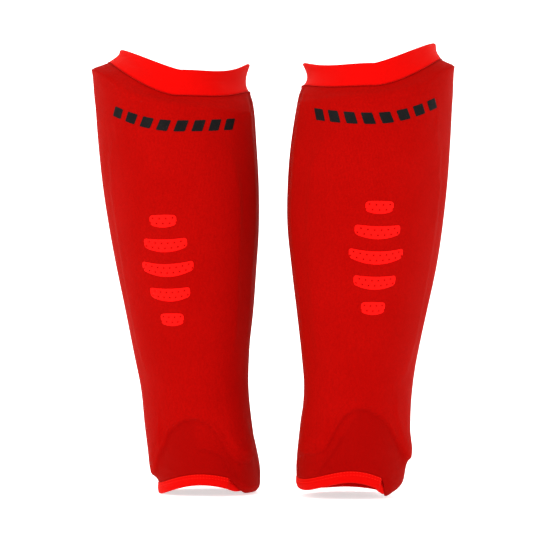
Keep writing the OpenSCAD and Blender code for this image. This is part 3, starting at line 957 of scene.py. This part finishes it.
def pocket_liner(side):
    u, z = panel_grid(side, OUTER_SEAM_U + 0.3, INNER_SEAM_U - 0.3, 120, 120, 8)
    off = np.full(u.shape, KNIT_T) + 0.05 * np.sin(np.radians(u) * 7 + z / 21)
    obj = sheet_loft("pocket_liner_knit", side, u, z, off, KNIT_T - 0.1)
    dress(obj, side, "pocket_liner", LINING)


PAD_ROUND, GROOVE_PITCH_U, GROOVE_HALF_U, GROOVE_DEPTH = 8, 20, 1.3, 0.8


def shin_pad(side):
    """Foam pad with a rounded edge and pressed grooves along the shin."""
    u, v = full_grid(140, 170, PAD_FROM_U, PAD_TO_U)
    foot, head = pad_foot_z(side, u), pad_head_z(side, u)
    z = foot + (head - foot) * v
    depth = pad_depth(side, u, z) + 1.1
    edge = np.sqrt(np.clip(1 - (1 - np.clip(depth / PAD_ROUND, 0, 1)) ** 2, 0, 1))
    off = FOAM_EDGE_OUT - 1.2 + (FOAM_OUT - FOAM_EDGE_OUT + 1.1) * edge
    from_groove = (u + 15) % GROOVE_PITCH_U - GROOVE_PITCH_U / 2
    groove = GROOVE_DEPTH * bell(from_groove, GROOVE_HALF_U) * ease(10, 16, depth)
    off = np.minimum(off - groove, FOAM_OUT - 0.05)
    off = np.minimum(off, panel_relief(side, u, z) - 0.25)
    thickness = off - FOAM_IN - 0.05
    loops = sheet_loops(side, u, z, off, thickness, 0.4, FOAM_IN + thickness / 2)
    obj = loft("shin_pad_foam", side, loops, loops[..., :2] * MM)
    dress(obj, side, "shin_pad", FOAM)


SHELL_MARGIN, PLATE_T = 2.5, SHELL_T - 0.1
RIBS_U, RIB_HALF_U, RIB_H = (-31, -9, 13), 2.2, 0.25


def hard_shell(side):
    """Moulded shell with rounded corners and three shallow ribs."""
    t, v = full_grid(90, 110, -1, 1)
    t, v = 0.995 * np.sin(t * np.pi / 2), 2 * v - 1
    arc = (1 - np.abs(t) ** SHELL_CORNER) ** (1 / SHELL_CORNER)
    u = SHELL_U + (SHELL_HALF_U - SHELL_MARGIN) * t
    z = SHELL_Z + (SHELL_HALF_Z - SHELL_MARGIN) * v * arc
    rib = sum(bell(u - rib_u, RIB_HALF_U) for rib_u in RIBS_U)
    off = SHELL_IN + PLATE_T + RIB_H * rib * ease(0, 0.2, 1 - np.abs(v))
    obj = sheet_loft("hard_shell_plate", side, u, z, off, PLATE_T)
    dress(obj, side, "hard_shell", SHELL)


# A folded band holds a cavity for its elastic and turns round half a circle
CAVITY_IN, CAVITY_OUT = FOLD_IN + KNIT_T, FLUSH_OUT - KNIT_T
FOLD_MID, FOLD_R = (FLUSH_OUT + FOLD_IN) / 2, (FLUSH_OUT - FOLD_IN) / 2
FOLD_BEND = np.linspace(0, np.pi, 9)[None, 1:-1]
TAPE_IN, TAPE_OUT = 0.15, 0.85


def collar_waist(u, v):
    """The collar draws in between seam and rim at its inner end."""
    return -3.2 * np.sin(np.pi * v**0.85) * np.maximum(0, np.sin(np.radians(u))) ** 3


def collar_band(side):
    def profile(u):
        low, high = seam_z(side, u) + 0.15, rim_z(side, u)
        v = np.linspace(0, 1, 14)[None, :]
        a = np.radians(u)
        crown = 0.35 + 0.18 * np.sin(a * 6 + side) + 0.1 * np.sin(a * 13 + 1 + side)
        waist = collar_waist(u, v)
        wall_z = low + (high - FOLD_R - low) * v
        wall_off = FLUSH_OUT + waist + crown * np.sin(np.pi * v) ** 0.8
        wall_off = wall_off + pucker((wall_z - low) * 1.2, u, 84, 0.06)
        top_z = high - FOLD_R + FOLD_R * np.sin(FOLD_BEND)
        top_off = FOLD_MID + FOLD_R * np.cos(FOLD_BEND) + 0 * u
        in_z = low + (high - 2 * KNIT_T - low) * v
        z = np.concatenate([wall_z, top_z, wall_z[:, ::-1], in_z, in_z[:, ::-1]], 1)
        cavity = CAVITY_IN + waist, CAVITY_OUT + waist[:, ::-1]
        return z, np.concatenate([wall_off, top_off, FOLD_IN + waist[:, ::-1], *cavity], 1)

    obj = ring_loft("collar_band_knit", side, profile)
    dress(obj, side, "collar_band", BAND)


def collar_elastic(side):
    def profile(u):
        low, high = seam_z(side, u), rim_z(side, u)
        v = np.linspace(0.15, 0.88, 8)[None, :]
        z = low + (high - low) * v
        waist = collar_waist(u, v)
        off = np.concatenate([TAPE_OUT + waist, TAPE_IN + waist[:, ::-1]], 1)
        return np.concatenate([z, z[:, ::-1]], 1), off

    obj = ring_loft("collar_elastic_tape", side, profile, 240)
    dress(obj, side, "collar_elastic", ELASTIC)


# Rows of the hem's stitches, down from its upper edge
HEM_ROWS = (0.7, 2.6)


def hem_band(side):
    def profile(u):
        low, high = hem_z(side, u), hem_z(side, u) + HEM_H
        v = np.linspace(0, 1, 15)[None, :]
        wall_z = low + FOLD_R + (high - low - FOLD_R) * v
        crown = 0.55 + 0.12 * np.sin(np.radians(u) * 9 + side)
        groove = 0.22 * bell(high - wall_z - HEM_ROWS[1], 0.7)
        wall_off = FLUSH_OUT + crown * np.sin(np.pi * v) - groove
        wall_off = wall_off + pucker((high - wall_z) * 1.2, u, 96, 0.07)
        turn_z = low + FOLD_R - FOLD_R * np.sin(FOLD_BEND)
        turn_off = FOLD_MID - FOLD_R * np.cos(FOLD_BEND) + 0 * u
        in_low = low + 1.2 * KNIT_T
        in_z = in_low + (high - in_low) * v
        z = np.concatenate([wall_z, in_z[:, ::-1], in_z, wall_z[:, ::-1], turn_z], 1)
        flat = [face + 0 * in_z for face in (CAVITY_OUT, CAVITY_IN, FOLD_IN)]
        return slip_under(side, u, z, np.concatenate([wall_off, *flat, turn_off], 1))

    obj = ring_loft("hem_band_knit", side, profile)
    dress(obj, side, "hem_band", BAND)


def hem_elastic(side):
    def profile(u):
        z = hem_z(side, u) + np.linspace(1.6, 6.8, 6)[None, :]
        off = np.concatenate([TAPE_OUT + 0 * z, TAPE_IN + 0 * z], 1)
        return slip_under(side, u, np.concatenate([z, z[:, ::-1]], 1), off)

    obj = ring_loft("hem_elastic_tape", side, profile, 240)
    dress(obj, side, "hem_elastic", ELASTIC)


THREAD_R, STITCH_POINTS = 0.2, np.linspace(0, 1, 5)[None, :]
STITCH_ARCH = np.sin(np.pi * (0.1 + 0.8 * STITCH_POINTS))


def ring_stitches(side, height, lift, pitch, length, slant=0.0, in_hem=False):
    """A row of short stitches round the leg; height(u) is where it runs, and
    length is the share of the pitch that a stitch takes."""
    u = np.arange(-180, 180, 1.0)
    track = leg_point(side, u, height(u), FLUSH_OUT)
    total = np.linalg.norm(np.roll(track, -1, 0) - track, axis=1).sum()
    count = int(total / pitch)
    degrees = 360.0 / count
    along = (-180 + degrees * np.arange(count))[:, None] + degrees * length * STITCH_POINTS
    z = height(along) + slant * (STITCH_POINTS - 0.5)
    off = FLUSH_OUT + lift * STITCH_ARCH + 0 * along
    if in_hem:
        z, off = slip_under(side, along, z, off)
    return leg_point(side, along, z, off)


def collar_seam(side):
    def line(u):
        return seam_z(side, u) + 0.35

    paths = ring_stitches(side, line, lift=0.28, pitch=1.5, length=0.92, slant=0.5)
    obj = stitches("collar_seam_thread", side, paths, THREAD_R)
    dress(obj, side, "collar_seam", THREAD_DARK)


def hem_stitching(side):
    def row(down):
        def line(u):
            return hem_z(side, u) + HEM_H - down

        return ring_stitches(side, line, lift=0.34, pitch=2.3, length=0.55, in_hem=True)

    paths = np.concatenate([row(down) for down in HEM_ROWS])
    obj = stitches("hem_stitch_thread", side, paths, 0.24)
    dress(obj, side, "hem_stitching", THREAD_BRIGHT)


SEAM_PITCH, SEAM_HALF_U, SEAM_LIFT, SEAM_ASIDE_U = 2.0, 1.6, 0.25, 1.2


def side_seam(side, node, centre_u):
    """Flat-locked seam: two rows of needle thread and the threads that cross
    between them."""
    z = np.arange(hem_top(side, centre_u) + 3, seam_z(side, centre_u) - 2, SEAM_PITCH)[:, None]
    t, out = STITCH_POINTS, FLUSH_OUT + SEAM_LIFT
    paths = []
    for turn in (-1, 1):
        u = centre_u + turn * SEAM_HALF_U + 0 * t
        paths.append(leg_point(side, u, z + 0.85 * SEAM_PITCH * t, out + 0.2 * STITCH_ARCH))
    for turn in (-1, 1):
        u = centre_u + turn * SEAM_HALF_U * (1 - 2 * t) + 0 * z
        rise = SEAM_PITCH * (0.5 * t + 0.25 * (turn + 1))
        paths.append(leg_point(side, u, z + rise, out + 0.12 * STITCH_ARCH))
    obj = stitches(f"{node}_thread", side, np.concatenate(paths), THREAD_R)
    dress(obj, side, node, THREAD_DARK)


def inner_seam(side):
    side_seam(side, "inner_seam", INNER_SEAM_U + SEAM_ASIDE_U)


def outer_seam(side):
    side_seam(side, "outer_seam", OUTER_SEAM_U - SEAM_ASIDE_U)


BAR_COUNT, BAR_W, BAR_H, BAR_SLANT, BAR_PITCH, BAR_CORNER = 8, 7.8, 7.8, 3.4, 12.1, 0.8
BAR_U = -3
RUNG_HALF = (9.0, 15.0, 18.5, 15.0, 9.0)
LADDER_HALF = 19.5, 41
RUNG_PITCH, RUNG_H, RUNG_DIP, RUNG_TAPER, RUNG_CORNER = 17, 8.8, 3.6, 0.28, 2.2
DOT_PITCH, DOT_R, DOT_ROW = 4.4, 0.62, 1.7


def rounded_box(x, y, half_w, half_h, r):
    """Distance to the edge of a rectangle with rounded corners."""
    dx, dy = np.abs(x) - half_w + r, np.abs(y) - half_h + r
    return np.hypot(np.maximum(dx, 0), np.maximum(dy, 0)) + np.minimum(np.maximum(dx, dy), 0) - r


def bar_print(side):
    """Plain slanted bars in a row that follows the collar."""
    half = BAR_COUNT * BAR_PITCH / 2

    def line_z(u):
        lift = np.where(u < 0, BAR_OUTER_LIFT, BAR_INNER_LIFT[side])
        return BAR_Z[side] + lift * np.sin(np.radians(u)) ** 2

    def inside(s, t):
        n = np.clip(np.floor((s + half) / BAR_PITCH), 0, BAR_COUNT - 1)
        x = s + half - BAR_PITCH * (n + 0.5) - BAR_SLANT * t / BAR_H
        return rounded_box(x, t, BAR_W / 2, BAR_H / 2, BAR_CORNER)

    obj = film("bar_film", side, BAR_U, line_z, half, 5, inside)
    dress(obj, side, "bar_print", PRINT_BLACK)


def rung(s, t, half):
    """One dipped rung with two rows of small holes."""
    t = t - RUNG_DIP * (s / 18) ** 2
    half_h = RUNG_H / 2 * (1 - RUNG_TAPER * (s / half) ** 2)
    row = np.where(t > 0, 1.0, 0.0)
    x = s - DOT_PITCH / 2 * row
    x = x - DOT_PITCH * np.round(x / DOT_PITCH)
    hole = DOT_R - np.hypot(x, t - (2 * row - 1) * DOT_ROW)
    return np.maximum(rounded_box(s, t, half, half_h, RUNG_CORNER), hole)


def ladder_print(side):
    """Five rungs on the shin."""
    def inside(s, t):
        return np.minimum.reduce([
            rung(s, t - RUNG_PITCH * (n - 2), half) for n, half in enumerate(RUNG_HALF)
        ])

    def line_z(u):
        return LADDER_Z[side] + 0 * u

    obj = film("ladder_film", side, LADDER_U[side], line_z, *LADDER_HALF, inside, cell=0.27)
    dress(obj, side, "ladder_print", PRINT_RED)


LABEL_U, LABEL_H, LABEL_T = (172, 188), 23, 0.3


def care_label(side):
    """Blank ribbon that hangs inside the back, a little curled at its end."""
    u, v = full_grid(17, 26, *LABEL_U)
    z = seam_z(side, u) - 0.8 - LABEL_H * (1 - v)
    off = FOLD_IN - 0.45 - 0.5 * (1 - v) ** 3 + 0 * u
    obj = sheet_loft("care_ribbon", side, u, z, off, LABEL_T)
    dress(obj, side, "care_label", SATIN)


PIECES = (
    front_panel, back_panel, pocket_liner, shin_pad, hard_shell, collar_band, collar_elastic,
    hem_band, hem_elastic, collar_seam, hem_stitching, inner_seam, outer_seam, bar_print,
    ladder_print, care_label,
)

for guard in (0, 1):
    SETTLED[guard] = settle_panel(guard)
    for make in PIECES:
        make(guard)


# ---- Floor, light and camera ----
def floor():
    """A seamless sweep: a flat floor that curves up behind the guards."""
    front_y, bend_y, bend_r, wall_h, half_w = -3.0, 1.2, 0.8, 3.0, 4.0
    profile = [(front_y, 0.0), (bend_y, 0.0)]
    profile += [
        (bend_y + bend_r * math.sin(a), bend_r * (1 - math.cos(a)))
        for a in np.linspace(0.1, math.pi / 2, 14)
    ]
    profile.append((bend_y + bend_r, wall_h))
    vertices = np.array([(x, y, z) for y, z in profile for x in (-half_w, half_w)])
    faces = [[2 * i, 2 * i + 1, 2 * i + 3, 2 * i + 2] for i in range(len(profile) - 1)]
    obj = new_object("floor_sweep", vertices, faces)
    n = Nodes("floor_paper")
    n.colour(n.mix(n.noise(n.place(), 3, 2), (0.93, 0.93, 0.93), (0.90, 0.90, 0.90)))
    n.shader.inputs["Emission Color"].default_value = (1, 1, 1, 1)
    n.shader.inputs["Emission Strength"].default_value = 0.6
    obj.data.materials.append(n.finish(0.9, specular=0.1))


LIGHT_AIM = (0, 0, 0.15)


def area_light(name, place, size, power):
    data = bpy.data.lights.new(name, "AREA")
    data.shape = "RECTANGLE"
    data.size, data.size_y = size
    data.energy = power
    obj = bpy.data.objects.new(name, data)
    bpy.context.scene.collection.objects.link(obj)
    obj.location = place
    obj.rotation_euler = (Vector(place) - Vector(LIGHT_AIM)).to_track_quat("Z", "Y").to_euler()


def lights():
    area_light("key", (-1.3, -1.5, 1.1), (1.2, 1.4), 20)
    area_light("fill", (1.6, -1.4, 0.5), (1.4, 1.6), 10.5)
    area_light("top", (0, 0.3, 2.0), (1.8, 1.8), 8)
    world = bpy.data.worlds.new("studio")
    world.use_nodes = True
    background = world.node_tree.nodes["Background"]
    background.inputs[0].default_value = (1, 1, 1, 1)
    background.inputs[1].default_value = 1.0
    bpy.context.scene.world = world


CAMERA_X, CAMERA_Z, CAMERA_DISTANCE, AIM_Z = -0.001, 0.1, 1.3, 0.16


def camera():
    """Level with the lower shin, in front of the middle between the guards,
    and tilted up a little."""
    axis_y = PLACES[0][2] * MM
    data = bpy.data.cameras.new("camera")
    data.sensor_width = 36
    data.lens = 120
    obj = bpy.data.objects.new("camera", data)
    bpy.context.scene.collection.objects.link(obj)
    obj.location = (CAMERA_X, axis_y - CAMERA_DISTANCE, CAMERA_Z)
    obj.rotation_euler = (math.pi / 2 + math.atan2(AIM_Z - CAMERA_Z, CAMERA_DISTANCE), 0, 0)
    bpy.context.scene.camera = obj


floor()
lights()
camera()
bpy.context.scene.view_settings.view_transform = "Standard"
